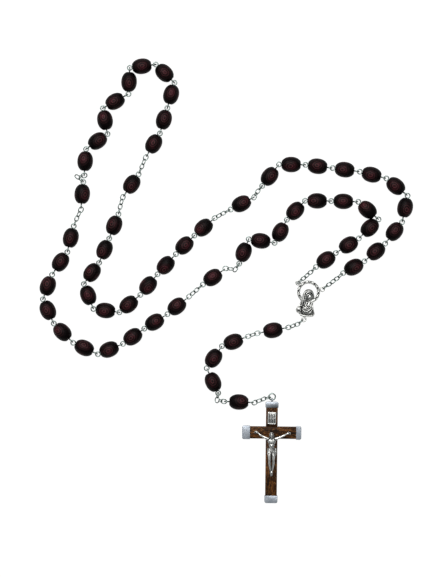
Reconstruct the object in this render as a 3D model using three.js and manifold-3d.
// A five-decade rosary laid flat: oval wooden beads on wire pins, chain, centre medal and crucifix.
// Millimetres, +Z up. The origin is under the middle of the laid-out rosary, on the surface it lies on.
//
// The strand is a row of stations. At each station lies a flat ring (an eye, a chain link or an eyelet),
// and the upright eye or link of the next piece passes through it. A piece therefore runs from one
// station to another, and it hinges on the wire of the flat ring that it shares with its neighbour.
import * as THREE from "three";
import { mergeVertices } from "three/addons/utils/BufferGeometryUtils.js";
import Module from "manifold-3d";

const wasm = await Module();
wasm.setup();

// Driving dimensions.
const beadLength = 9.5;
const beadWidth = 7.8;
const pinWire = 0.6;
const chainWire = 0.5;
const ringWire = 0.7;
const eyeRadius = 1.175; // middle of the wire, as for every radius of a ring here
const linkHalf = 1.4; // half of a chain link's length
const linkSide = 1.15; // half of its width
const eyeletRadius = 1.05;
const crucifixRingRadius = 1.6;
const play = 0.2; // free space between two wires that hang in each other
const sink = 0.15; // how deep an eye's wire is let into the end of its bead
const weld = 0.12; // how deep the links of one chain segment run into each other

const strandHeight = beadWidth / 2;
const medalHeight = 1.6; // the medal's eyelets above the surface
const crucifixHeight = 1.9; // the crucifix's eyelet above the surface

const medalCentre = [41.1, -5.0];
const medalLean = -5; // degrees, as the crucifix's
const medalEyelets = { left: [-5.6, 4.2], right: [6.7, 2.0], bottom: [-1.2, -13.9] };
const crucifixTop = [23.6, -57.3];
const crucifixLean = -0.7;

const haloOuter = 5.75;
const haloInner = 4.2;
const haloThickness = 1.5;
const haloCells = 9;
const firstCell = -32; // degrees, the lowest cell on the right
const cellPitch = 30;

const crossHeight = 50.6;
const crossWidth = 29.6;
const crossDepth = 3.6;
const uprightWidth = 5.8;
const barHeight = 6.0;
const barDrop = 15.4; // from the top of the upright to the middle of the bar
const capWall = 0.2;
const capGap = 0.15;
const capLengths = { top: 2.8, bottom: 3.7, left: 3.9, right: 2.6 };

const beadWood = material(0x33151a, 0.4, 0.0);
const crossWood = material(0x4a2a14, 0.55, 0.0);
const silver = material(0xc9d0cc, 0.28, 1.0);
const satinSilver = material(0xbdc1c6, 0.42, 1.0);
const agedSilver = material(0x9a9a98, 0.38, 1.0);

// The strand, piece by piece outwards from the medal. A route point is [x, y] or [x, y, z].
const leftStrand = [
  chain("chain_medal_left", { endsUpright: true }, [[38.5, 1.8, 2.4], [42.0, 4.8, 3.3]]),
  beads("decade_1_beads_1_2", { near: "flat" }, [[44.8, 7.6], [54.6, 14.5], [66.0, 21.7]]),
  beads("decade_1_beads_3_4", {}, [[76.1, 31.4], [65.9, 40.1]]),
  beads("decade_1_beads_5_6", {}, [[52.2, 40.5], [39.0, 40.2]]),
  beads("decade_1_beads_7_8", {}, [[30.3, 31.1], [24.2, 20.1]]),
  beads("decade_1_beads_9_10", {}, [[11.0, 20.9], [6.4, 9.5]]),
  chain("chain_pater_1_near", {}, [[4.6, 6.6], [0.2, 7.2]]),
  beads("pater_1", {}, [[-11.9, -1.2]]),
  chain("chain_pater_1_far", {}, [[-15.3, -4.3], [-18.9, -7.4]]),
  beads("decade_2_beads_1_2", {}, [[-29.6, -16.1], [-41.1, -23.3]]),
  beads("decade_2_beads_3_4", {}, [[-51.8, -30.9], [-64.3, -36.1]]),
  beads("decade_2_beads_5_6", {}, [[-76.6, -30.4], [-86.4, -20.7]]),
  beads("decade_2_beads_7_8", {}, [[-91.8, -8.6], [-87.2, 3.7]]),
  beads("decade_2_beads_9_10", {}, [[-79.6, 15.0], [-76.4, 28.0]]),
  chain("chain_pater_2_near", {}, [[-74.9, 31.7], [-72.8, 36.1]]),
  beads("pater_2", {}, [[-71.6, 50.1]]),
  chain("chain_pater_2_far", {}, [[-74.2, 52.6], [-71.4, 54.4]]),
  beads("decade_3_beads_1_2", {}, [[-69.7, 65.7], [-60.3, 74.5]]),
  beads("decade_3_beads_3_4", { far: "stub" }, [[-60.3, 86.7], [-49.6, 94.6]]),
];
const rightStrand = [
  chain("chain_medal_right", { endsUpright: true }, [[51.4, -1.2, 2.4], [55.3, 1.7, 3.3]]),
  beads("decade_5_beads_1_2", { near: "flat" }, [[58.5, 4.8], [69.3, 10.6], [79.3, 19.2]]),
  beads("decade_5_beads_3_4", {}, [[87.8, 30.0], [90.6, 43.1]]),
  beads("decade_5_beads_5_6", {}, [[80.1, 51.8], [66.6, 55.2]]),
  beads("decade_5_beads_7_8", {}, [[52.9, 57.0], [39.5, 58.6]]),
  beads("decade_5_beads_9_10", {}, [[26.3, 58.9], [17.7, 47.9]]),
  chain("chain_pater_4_near", {}, [[15.6, 45.3], [13.8, 42.5]]),
  beads("pater_4", {}, [[2.1, 36.3]]),
  chain("chain_pater_4_far", {}, [[-1.6, 34.4], [-5.9, 32.0]]),
  beads("decade_4_beads_1_2", {}, [[-16.2, 23.1], [-25.2, 14.1]]),
  beads("decade_4_beads_3_4", {}, [[-34.5, 3.9], [-43.1, -6.4]]),
  beads("decade_4_beads_5_6", {}, [[-53.8, -15.1], [-66.3, -13.5]]),
  beads("decade_4_beads_7_8", {}, [[-71.2, -0.8], [-63.6, 10.0]]),
  beads("decade_4_beads_9_10", {}, [[-58.8, 21.4], [-54.1, 33.8]]),
  chain("chain_pater_3_near", {}, [[-53.2, 37.6], [-52.0, 42.2]]),
  beads("pater_3", {}, [[-43.9, 53.9]]),
  chain("chain_pater_3_far", {}, [[-42.3, 57.8], [-40.4, 62.3]]),
  beads("decade_3_beads_9_10", {}, [[-33.2, 74.5], [-29.5, 87.3]]),
  beads("decade_3_beads_7_8", {}, [[-26.8, 99.9], [-35.5, 108.0]]),
  beads("decade_3_beads_5_6", {}, [[-47.6, 106.6], [-49.0, 94.6]]),
];
const pendant = [
  chain("chain_medal_bottom", {}, [[37.0, -21.8, 2.8], [30.0, -23.2]]),
  beads("pater_5", { far: "upright" }, [[14.4, -25.6]]),
  chain("chain_pater_5", { startsFlat: true }, [[10.2, -27.3]]),
  beads("pendant_ave_1", {}, [[-3.0, -32.3]]),
  beads("pendant_ave_2", {}, [[-9.9, -43.1]]),
  beads("pendant_ave_3", {}, [[-4.2, -55.7]]),
  chain("chain_pater_6", {}, [[-4.2, -58.9], [-1.8, -59.6]]),
  beads("pater_6", { far: "upright" }, [[13.8, -60.4]]),
  chain("chain_crucifix", { startsFlat: true, endsUpright: true }, [[18.0, -58.6, 3.0]]),
];

function material(color, roughness, metalness) {
  return new THREE.MeshStandardMaterial({ color, roughness, metalness });
}

// Rows of the strand lists.
function chain(name, shape, route) {
  return { kind: "chain", name, startsFlat: false, endsUpright: false, ...shape, route };
}

function beads(name, shape, route) {
  return { kind: "beads", name, near: "upright", far: "flat", ...shape, route };
}

// Geometry and solids.
function solid(geometry) {
  const bare = geometry.clone();
  bare.deleteAttribute("normal");
  bare.deleteAttribute("uv");
  const merged = mergeVertices(bare, 1e-4);
  const faces = new wasm.Mesh({
    numProp: 3,
    vertProperties: merged.attributes.position.array,
    triVerts: new Uint32Array(merged.index.array),
  });
  return new wasm.Manifold(faces);
}

function joined(geometries) {
  return geometries.map(solid).reduce((whole, piece) => whole.add(piece));
}

function geometryOf(made) {
  const mesh = made.getMesh();
  const geometry = new THREE.BufferGeometry();
  geometry.setAttribute("position", new THREE.BufferAttribute(mesh.vertProperties, 3));
  geometry.setIndex(new THREE.BufferAttribute(mesh.triVerts, 1));
  geometry.computeVertexNormals();
  return geometry;
}

// A closed ring of wire in the XY plane, drawn out along X to an oval where half is over side.
function ring(half, side, wire, steps = 8) {
  const geometry = new THREE.TorusGeometry(side, wire / 2, 3, steps);
  const place = geometry.attributes.position;
  for (let i = 0; i < place.count; i++) {
    const x = place.getX(i);
    if (Math.abs(x) > 0.01) place.setX(i, x + Math.sign(x) * (half - side));
  }
  return geometry;
}

function uprightEye(x) {
  return ring(eyeRadius, eyeRadius, pinWire).rotateX(Math.PI / 2).translate(x, 0, 0);
}

// A chain link. Its wire has its edge inwards, where the next link is welded to it.
function flatLink(half = linkHalf) {
  return ring(half, Math.min(half, linkSide), -chainWire, 6);
}

function uprightLink(half) {
  return flatLink(half).rotateX(Math.PI / 2);
}

// The oval bead with blunt ends, along X.
function beadBody() {
  const stations = [-0.5, -0.35, 0, 0.35, 0.5].map((part) => part * beadLength);
  const fullness = 0.545 * beadLength;
  const profile = stations.map((x) => {
    const radius = (beadWidth / 2) * Math.sqrt(1 - Math.abs(x / fullness) ** 2.2);
    return new THREE.Vector2(radius, x);
  });
  profile.unshift(new THREE.Vector2(0, stations[0]));
  profile.push(new THREE.Vector2(0, stations[stations.length - 1]));
  return new THREE.LatheGeometry(profile, 8).rotateZ(-Math.PI / 2);
}

function wireBetween(x0, x1, diameter) {
  const bar = new THREE.CylinderGeometry(diameter / 2, diameter / 2, x1 - x0, 4);
  return bar.rotateZ(Math.PI / 2).translate((x0 + x1) / 2, 0, 0);
}

// How far from a flat ring's middle the wire of the upright ring in it lies.
function reachIn(radius, wire, otherWire) {
  return radius - (wire + otherWire) / 2 - play;
}

// Stations and lengths.
const eyeInset = eyeRadius + sink; // from a flat eye's middle to its bead's end
const eyeInEye = reachIn(eyeRadius, pinWire, pinWire) + 2 * eyeRadius + sink;
const eyeInLink = reachIn(linkHalf, chainWire, pinWire) + 2 * eyeRadius + sink;
const linkStep = 2 * linkHalf - (chainWire - weld); // between links of one segment, upright to flat
const linkInEye = reachIn(eyeRadius, pinWire, chainWire) + linkHalf + linkStep;
const linkInRing = reachIn(crucifixRingRadius, ringWire, chainWire) + linkHalf + linkStep;
const eyeSlack = 0.6; // how much shorter than its longest each kind of span may be
const linkSlack = 0.75;
const segmentSlack = 1.4;

function stationOf(point) {
  return new THREE.Vector3(point[0], point[1], point[2] ?? strandHeight);
}

// The shortest and longest distance from the station before to each station of a row.
function spansOf(row, before) {
  const nearLink = before === "link";
  if (row.kind === "ring") return [[linkInRing - linkSlack, linkInRing]];
  if (row.kind === "chain") {
    const first = row.startsFlat ? null : [linkInEye - linkSlack, linkInEye];
    const inner = [2 * linkStep - segmentSlack, 2 * linkStep];
    return row.route.map((_, i) => (i === 0 && first ? first : inner));
  }
  const near = nearLink ? eyeInLink : eyeInEye;
  const slack = nearLink ? linkSlack : eyeSlack;
  const farOf = (i) => {
    if (i < row.route.length - 1 || row.far === "flat") return eyeInset;
    return row.far === "upright" ? eyeInLink : eyeInEye;
  };
  return row.route.map((_, i) => {
    if (row.near === "flat" && i === 0) return [linkInEye - linkSlack, linkInEye];
    if (row.near === "flat" && i === 1) return [2 * eyeInset + beadLength, 2 * eyeInset + beadLength];
    const start = i === 0 ? near : eyeInEye;
    const give = i === 0 ? slack : eyeSlack;
    const longest = start + beadLength + farOf(i);
    return [longest - give, longest];
  });
}

// Settles the stations: each is drawn to its route point and held within its distances.
function settle(start, rows, end) {
  const goals = [start];
  const spans = [];
  let before = "eye";
  for (const row of rows) {
    goals.push(...row.route.map(stationOf));
    spans.push(...spansOf(row, before));
    before = row.kind === "chain" ? "link" : "eye";
  }
  if (end) goals[goals.length - 1] = end;
  const stations = goals.map((goal) => goal.clone());
  const lastFree = stations.length - (end ? 2 : 1);
  const flatRange = spans.map(([least, most], i) => {
    const rise = goals[i + 1].z - goals[i].z;
    return [Math.sqrt(least ** 2 - rise ** 2), Math.sqrt(most ** 2 - rise ** 2)];
  });
  const rounds = 1500;
  for (let round = 0; round < rounds; round++) {
    const pull = round < rounds / 2 ? 0.08 : 0;
    for (let i = 1; i <= lastFree; i++) stations[i].lerp(goals[i], pull);
    for (let i = 1; i < stations.length; i++) {
      const [a, b] = [stations[i - 1], stations[i]];
      const [dx, dy] = [b.x - a.x, b.y - a.y];
      const length = Math.hypot(dx, dy);
      const change = THREE.MathUtils.clamp(length, ...flatRange[i - 1]) / length - 1;
      const freeA = i - 1 > 0 ? 1 : 0;
      const freeB = i <= lastFree ? 1 : 0;
      const share = change / Math.max(1, freeA + freeB);
      a.x -= dx * share * freeA;
      a.y -= dy * share * freeA;
      b.x += dx * share * freeB;
      b.y += dy * share * freeB;
    }
  }
  return stations;
}

// A frame at the far station of a span, with X pointing on along the span and Y level.
function spanFrame(from, to) {
  const ahead = to.clone().sub(from).normalize();
  const side = new THREE.Vector3(0, 0, 1).cross(ahead).normalize();
  const up = ahead.clone().cross(side);
  return new THREE.Matrix4().makeBasis(ahead, side, up).setPosition(to);
}

// One bead with its eyes, from the station before it to its own, in the frame of its own station.
function beadPieces(from, to, near, far, joinedBefore, joinedAfter) {
  const frame = spanFrame(from, to);
  const length = from.distanceTo(to);
  const farGap = { flat: eyeInset, upright: eyeInLink, stub: eyeInEye }[far];
  const beadEnd = -farGap;
  const beadStart = beadEnd - beadLength;
  const pieces = [beadBody().translate(beadEnd - beadLength / 2, 0, 0)];
  if (far === "flat") pieces.push(ring(eyeRadius, eyeRadius, pinWire, joinedAfter ? 6 : 8));
  if (far === "upright") pieces.push(uprightEye(beadEnd + eyeInset));
  if (far === "stub") {
    const stubEnd = -(eyeRadius + pinWire / 2 + 0.3);
    pieces.push(wireBetween(beadEnd - sink, stubEnd, pinWire));
  }
  if (joinedBefore) pieces.push(wireBetween(-length + eyeRadius, beadStart + sink, pinWire));
  else if (near === "upright") pieces.push(uprightEye(beadStart - eyeInset));
  return pieces.map((piece) => piece.applyMatrix4(frame));
}

function beadSolids(row, before, stations) {
  const pieces = [];
  const points = [before, ...stations];
  const first = row.near === "flat" ? 1 : 0;
  if (first) {
    const frame = spanFrame(stations[0], stations[1]).setPosition(stations[0]);
    pieces.push(ring(eyeRadius, eyeRadius, pinWire).applyMatrix4(frame));
  }
  for (let i = first; i < stations.length; i++) {
    const far = i === stations.length - 1 ? row.far : "flat";
    const near = first && i === first ? "flat" : "upright";
    pieces.push(...beadPieces(points[i], points[i + 1], near, far, i > first, i < stations.length - 1));
  }
  return pieces;
}

// The links of one chain segment: an upright link before each flat one.
function chainSolids(row, before, stations, after) {
  const pieces = [];
  const points = [before, ...stations];
  const bite = linkHalf - (chainWire - weld);
  for (let i = 0; i < stations.length; i++) {
    const frame = spanFrame(points[i], points[i + 1]);
    const held = i > 0 || row.startsFlat;
    if (i === 0 && held) pieces.push(flatLink().applyMatrix4(frame.clone().setPosition(before)));
    pieces.push(flatLink().applyMatrix4(frame));
    const half = held ? (points[i].distanceTo(points[i + 1]) - 2 * bite) / 2 : linkHalf;
    pieces.push(uprightLink(half).translate(-bite - half, 0, 0).applyMatrix4(frame));
  }
  if (row.endsUpright) {
    const last = points[points.length - 1];
    const length = last.distanceTo(after.station);
    const half = (length - bite - reachIn(after.radius, after.wire, chainWire)) / 2;
    const frame = spanFrame(last, after.station).setPosition(last);
    pieces.push(uprightLink(half).translate(bite + half, 0, 0).applyMatrix4(frame));
  }
  return pieces;
}

// A named mesh in a group of its own. The group's origin is the hinge and its Y axis the hinge axis.
function hung(name, pieces, paint, hinge) {
  const group = new THREE.Group();
  group.applyMatrix4(hinge);
  const geometry = geometryOf(joined(pieces)).applyMatrix4(hinge.clone().invert());
  const mesh = new THREE.Mesh(geometry, paint);
  mesh.name = name;
  group.add(mesh);
  return group;
}

// The hinge of a piece: on the wire of the flat ring at a station, on the side that its neighbour pulls.
function hingeFrame(from, to, station, reach) {
  const frame = spanFrame(from, to);
  const ahead = new THREE.Vector3().setFromMatrixColumn(frame, 0);
  return frame.setPosition(station.clone().addScaledVector(ahead, reach));
}

// Builds one strand as a tree of groups, each hung in the one before.
function buildStrand(parent, start, startRadius, rows, tail, end) {
  const stations = settle(start, tail ? [...rows, tail] : rows, end);
  let holder = parent;
  let index = 0;
  let reach = startRadius;
  rows.forEach((row, number) => {
    const before = stations[index];
    const own = stations.slice(index + 1, index + 1 + row.route.length);
    const next = rows[number + 1] ?? tail;
    let pieces;
    if (row.kind === "beads") pieces = beadSolids(row, before, own);
    else {
      const after = { station: stations[index + 1 + own.length], radius: eyeRadius, wire: pinWire };
      if (next?.radius) Object.assign(after, { radius: next.radius, wire: next.wire });
      pieces = chainSolids(row, before, own, after);
    }
    const ownReach = row.kind === "beads" ? eyeRadius : linkHalf;
    let pivot = hingeFrame(before, own[0], before, reach);
    if (row.near === "flat") pivot = hingeFrame(before, own[0], own[0], -eyeRadius);
    if (row.startsFlat) pivot = hingeFrame(stations[index - 1], before, before, -linkHalf);
    const paint = row.kind === "beads" ? beadWood : silver;
    const group = hung(row.name, pieces, paint, pivot);
    holder.attach(group);
    holder = group;
    reach = ownReach;
    index += own.length;
  });
  return { holder, stations };
}

// The centre medal.
function haloRing() {
  const [low, high] = [-haloThickness / 2, haloThickness / 2];
  const outline = [[haloInner, low], [haloOuter, low], [haloOuter, high], [haloInner, high]];
  const profile = [...outline, outline[0]].map(([r, z]) => new THREE.Vector2(r, z));
  return new THREE.LatheGeometry(profile, 20).rotateX(Math.PI / 2);
}

function haloCell(angle) {
  const cell = new THREE.CylinderGeometry(0.6, 0.75, 0.5, 5);
  const middle = (haloOuter + haloInner) / 2;
  return cell.rotateX(Math.PI / 2).translate(middle, 0, haloThickness / 2 + 0.1).rotateZ(angle);
}

function outlinePlate(points, low, high, bevel) {
  const curve = new THREE.SplineCurve([...points, points[0]].map(([x, y]) => new THREE.Vector2(x, y)));
  const shape = new THREE.Shape(curve.getPoints(points.length * 2).slice(0, -1));
  const depth = high - low - 2 * bevel;
  const settings = { depth, steps: 1, bevelThickness: bevel, bevelSize: bevel, bevelSegments: 1 };
  return new THREE.ExtrudeGeometry(shape, settings).translate(0, 0, low + bevel);
}

function ellipsoid(rx, ry, rz, x, y, z, around = 8, along = 4) {
  return new THREE.SphereGeometry(1, around, along).scale(rx, ry, rz).translate(x, y, z);
}

function medal() {
  const back = -medalHeight;
  const bust = [
    [0.1, 1.6], [-1.6, 0.9], [-2.7, -1.3], [-3.3, -3.8], [-3.8, -6.2],
    [-5.6, -9.2], [-4.9, -10.5], [-2.9, -12.3], [0.3, -12.7], [3.3, -12.1],
    [4.0, -10.6], [2.5, -7.4], [3.0, -3.8], [3.1, -1.6], [2.0, 0.9],
  ];
  const pieces = [
    haloRing(),
    outlinePlate(bust, back, 0.1, 0.35),
    ellipsoid(2.6, 3.2, 1.3, 0.2, -1.9, -0.2),
    ellipsoid(1.2, 1.7, 0.9, 0.9, -2.5, 0.6),
    ellipsoid(3.2, 2.5, 1.3, 0.4, -9.6, -0.2),
    ellipsoid(1.3, 1.7, 1.1, -4.0, -9.2, -0.3),
  ];
  for (let i = 0; i < haloCells; i++) {
    pieces.push(haloCell(THREE.MathUtils.degToRad(firstCell + i * cellPitch)));
  }
  for (const [x, y] of Object.values(medalEyelets)) {
    pieces.push(ring(eyeletRadius, eyeletRadius, ringWire).translate(x, y, 0));
  }
  return pieces;
}

function standing([x, y], height, lean) {
  const turn = new THREE.Matrix4().makeRotationZ(THREE.MathUtils.degToRad(lean));
  return turn.setPosition(x, y, height);
}

// The crucifix, in its own frame: the origin is the middle of the large ring and +Y points up it.
const eyeletOfCross = 0.8; // radius of the small eyelet on the top cap
const hangDepth = reachIn(crucifixRingRadius, ringWire, pinWire) + 2 * eyeletOfCross + sink;
const crossTop = -hangDepth;
const crossBottom = crossTop - crossHeight;
const barMiddle = crossTop - barDrop;
const crossBack = -crucifixHeight;
const crossFront = crossBack + crossDepth;
const seat = 0.1; // the air between the wood and what is pinned to it
const capAir = 0.6; // from the outside of a cap to the end of the wood in it

function box(x0, x1, y0, y1, z0, z1) {
  const made = new THREE.BoxGeometry(x1 - x0, y1 - y0, z1 - z0);
  return made.translate((x0 + x1) / 2, (y0 + y1) / 2, (z0 + z1) / 2);
}

function crossWoodBody() {
  const chamfer = 0.45;
  const w = uprightWidth / 2 - chamfer;
  const [low, high] = [barMiddle - barHeight / 2 + chamfer, barMiddle + barHeight / 2 - chamfer];
  const [top, bottom] = [crossTop - capAir - chamfer, crossBottom + capAir + chamfer];
  const arm = crossWidth / 2 - capAir - chamfer;
  const corners = [
    [w, top], [-w, top], [-w, high], [-arm, high], [-arm, low], [-w, low],
    [-w, bottom], [w, bottom], [w, low], [arm, low], [arm, high], [w, high],
  ];
  const shape = new THREE.Shape(corners.map(([x, y]) => new THREE.Vector2(x, y)));
  const depth = crossDepth - 2 * chamfer;
  const settings = { depth, bevelThickness: chamfer, bevelSize: chamfer, bevelSegments: 1 };
  return new THREE.ExtrudeGeometry(shape, settings).translate(0, 0, crossBack + chamfer);
}

// A metal end cap: a closed sleeve over the end of the wood, open towards the middle of the cross.
function capOver(x0, x1, y0, y1, openX, openY) {
  const shell = solid(box(x0, x1, y0, y1, crossBack, crossFront + capWall + capGap));
  const wall = capWall;
  const pocket = box(
    x0 + (openX < 0 ? -1 : wall), x1 - (openX > 0 ? -1 : wall),
    y0 + (openY < 0 ? -1 : wall), y1 - (openY > 0 ? -1 : wall),
    crossBack - 5, crossFront + capGap,
  );
  return shell.subtract(solid(pocket));
}

function endCap(which) {
  const length = capLengths[which];
  const overlap = capWall + capGap;
  const [w, b] = [uprightWidth / 2 + overlap, barHeight / 2 + overlap];
  const arm = crossWidth / 2;
  if (which === "top") return capOver(-w, w, crossTop - length, crossTop, 0, -1);
  if (which === "bottom") return capOver(-w, w, crossBottom, crossBottom + length, 0, 1);
  if (which === "left") return capOver(-arm, -arm + length, barMiddle - b, barMiddle + b, 1, 0);
  return capOver(arm - length, arm, barMiddle - b, barMiddle + b, -1, 0);
}

function crossEyelet() {
  const eyelet = ring(eyeletOfCross, eyeletOfCross, pinWire).rotateX(Math.PI / 2).rotateZ(Math.PI / 2);
  return eyelet.translate(0, crossTop + eyeletOfCross + sink, 0);
}

function titlePlate() {
  const middle = crossTop - 8.1;
  return box(-2.2, 2.2, middle - 3.1, middle + 3.1, crossFront + seat, crossFront + seat + 0.5);
}

// A limb between two points, thicker at one end.
function limb(from, to, radiusFrom, radiusTo) {
  const [a, b] = [new THREE.Vector3(...from), new THREE.Vector3(...to)];
  const span = b.clone().sub(a);
  const upward = new THREE.Vector3(0, 1, 0);
  const turn = new THREE.Quaternion().setFromUnitVectors(upward, span.clone().normalize());
  const bar = new THREE.CylinderGeometry(radiusTo, radiusFrom, span.length(), 5);
  return bar.applyQuaternion(turn).translate(...a.add(b).multiplyScalar(0.5).toArray());
}

function corpus() {
  const floor = crossFront + seat;
  const rise = (height) => floor + height;
  const shoulders = barMiddle - 3.2;
  const hips = barMiddle - 8.6;
  const knees = barMiddle - 15.4;
  const feet = barMiddle - 21.2;
  const pieces = [
    ellipsoid(1.85, 2.5, 0.95, 0, shoulders - 1.0, rise(1.0)),
    ellipsoid(1.5, 2.6, 0.85, 0, shoulders - 3.6, rise(1.0)),
    ellipsoid(2.2, 1.9, 1.05, 0, hips, rise(1.1)),
    ellipsoid(1.25, 1.75, 1.05, 0.1, barMiddle - 1.2, rise(1.8)),
    limb([0, shoulders + 1.6, rise(1.1)], [0.05, barMiddle - 2.0, rise(1.5)], 0.75, 0.7),
    ellipsoid(0.8, 1.3, 0.6, 0, feet - 0.3, rise(0.9), 6, 4),
  ];
  for (const side of [-1, 1]) {
    pieces.push(
      limb([side * 1.3, shoulders + 0.2, rise(1.1)], [side * 4.6, barMiddle - 1.7, rise(1.0)], 0.75, 0.6),
      limb([side * 4.4, barMiddle - 1.8, rise(1.0)], [side * 7.7, barMiddle - 0.2, rise(0.8)], 0.6, 0.42),
      ellipsoid(1.0, 0.6, 0.4, side * 8.2, barMiddle + 0.1, rise(0.7), 6, 4),
      limb([side * 0.95, hips - 0.6, rise(1.1)], [side * 0.85, knees, rise(1.5)], 1.0, 0.72),
      limb([side * 0.85, knees + 0.4, rise(1.5)], [side * 0.35, feet, rise(0.9)], 0.75, 0.5),
    );
  }
  return pieces;
}

function named(name, geometry, paint) {
  const mesh = new THREE.Mesh(geometry, paint);
  mesh.name = name;
  return mesh;
}

function buildCrucifix(holder, ringStation) {
  const lean = THREE.MathUtils.degToRad(crucifixLean);
  const down = new THREE.Vector3(Math.sin(lean), -Math.cos(lean), 0);
  const frame = standing([ringStation.x, ringStation.y], ringStation.z, crucifixLean);
  const group = new THREE.Group();
  const hinge = hingeFrame(ringStation, ringStation.clone().add(down), ringStation, crucifixRingRadius);
  group.applyMatrix4(hinge);
  const toHinge = hinge.clone().invert().multiply(frame);
  const place = (geometry) => geometry.applyMatrix4(toHinge);
  const topCap = endCap("top").add(solid(crossEyelet()));
  group.add(
    named("crucifix_wood", place(crossWoodBody()), crossWood),
    named("cap_top", place(geometryOf(topCap)), satinSilver),
    named("cap_bottom", place(geometryOf(endCap("bottom"))), satinSilver),
    named("cap_left", place(geometryOf(endCap("left"))), satinSilver),
    named("cap_right", place(geometryOf(endCap("right"))), satinSilver),
    named("title_plate", place(titlePlate()), agedSilver),
    named("corpus", place(geometryOf(joined(corpus()))), agedSilver),
  );
  holder.attach(group);
}

function buildRosary() {
  const rosary = new THREE.Group();
  const medalFrame = standing(medalCentre, medalHeight, medalLean);
  const medalGroup = new THREE.Group();
  medalGroup.applyMatrix4(medalFrame);
  medalGroup.add(named("medal", geometryOf(joined(medal())), agedSilver));
  rosary.add(medalGroup);
  const eyelet = (side) => new THREE.Vector3(...medalEyelets[side], 0).applyMatrix4(medalFrame);

  const right = buildStrand(medalGroup, eyelet("right"), eyeletRadius, rightStrand);
  const openEnd = right.stations[right.stations.length - 1];
  buildStrand(medalGroup, eyelet("left"), eyeletRadius, leftStrand, null, openEnd);

  const ringGoal = new THREE.Vector3(...crucifixTop, crucifixHeight);
  const ringRow = { kind: "ring", radius: crucifixRingRadius, wire: ringWire, route: [ringGoal.toArray()] };
  const hanging = buildStrand(medalGroup, eyelet("bottom"), eyeletRadius, pendant, ringRow);
  const [lastLink, ringMiddle] = hanging.stations.slice(-2);
  const ringHinge = hingeFrame(lastLink, ringMiddle, ringMiddle, -crucifixRingRadius);
  const flatRing = ring(crucifixRingRadius, crucifixRingRadius, ringWire, 10);
  flatRing.translate(...ringMiddle.toArray());
  const ringGroup = hung("crucifix_ring", [flatRing], silver, ringHinge);
  hanging.holder.attach(ringGroup);
  buildCrucifix(ringGroup, ringMiddle);
  return rosary;
}

// Moves the whole rosary so that its box stands on the origin.
function centred(rosary) {
  rosary.updateMatrixWorld(true);
  const bounds = new THREE.Box3().setFromObject(rosary, true);
  const middle = bounds.getCenter(new THREE.Vector3());
  rosary.position.set(-middle.x, -middle.y, -bounds.min.z);
  return rosary;
}

export default centred(buildRosary());
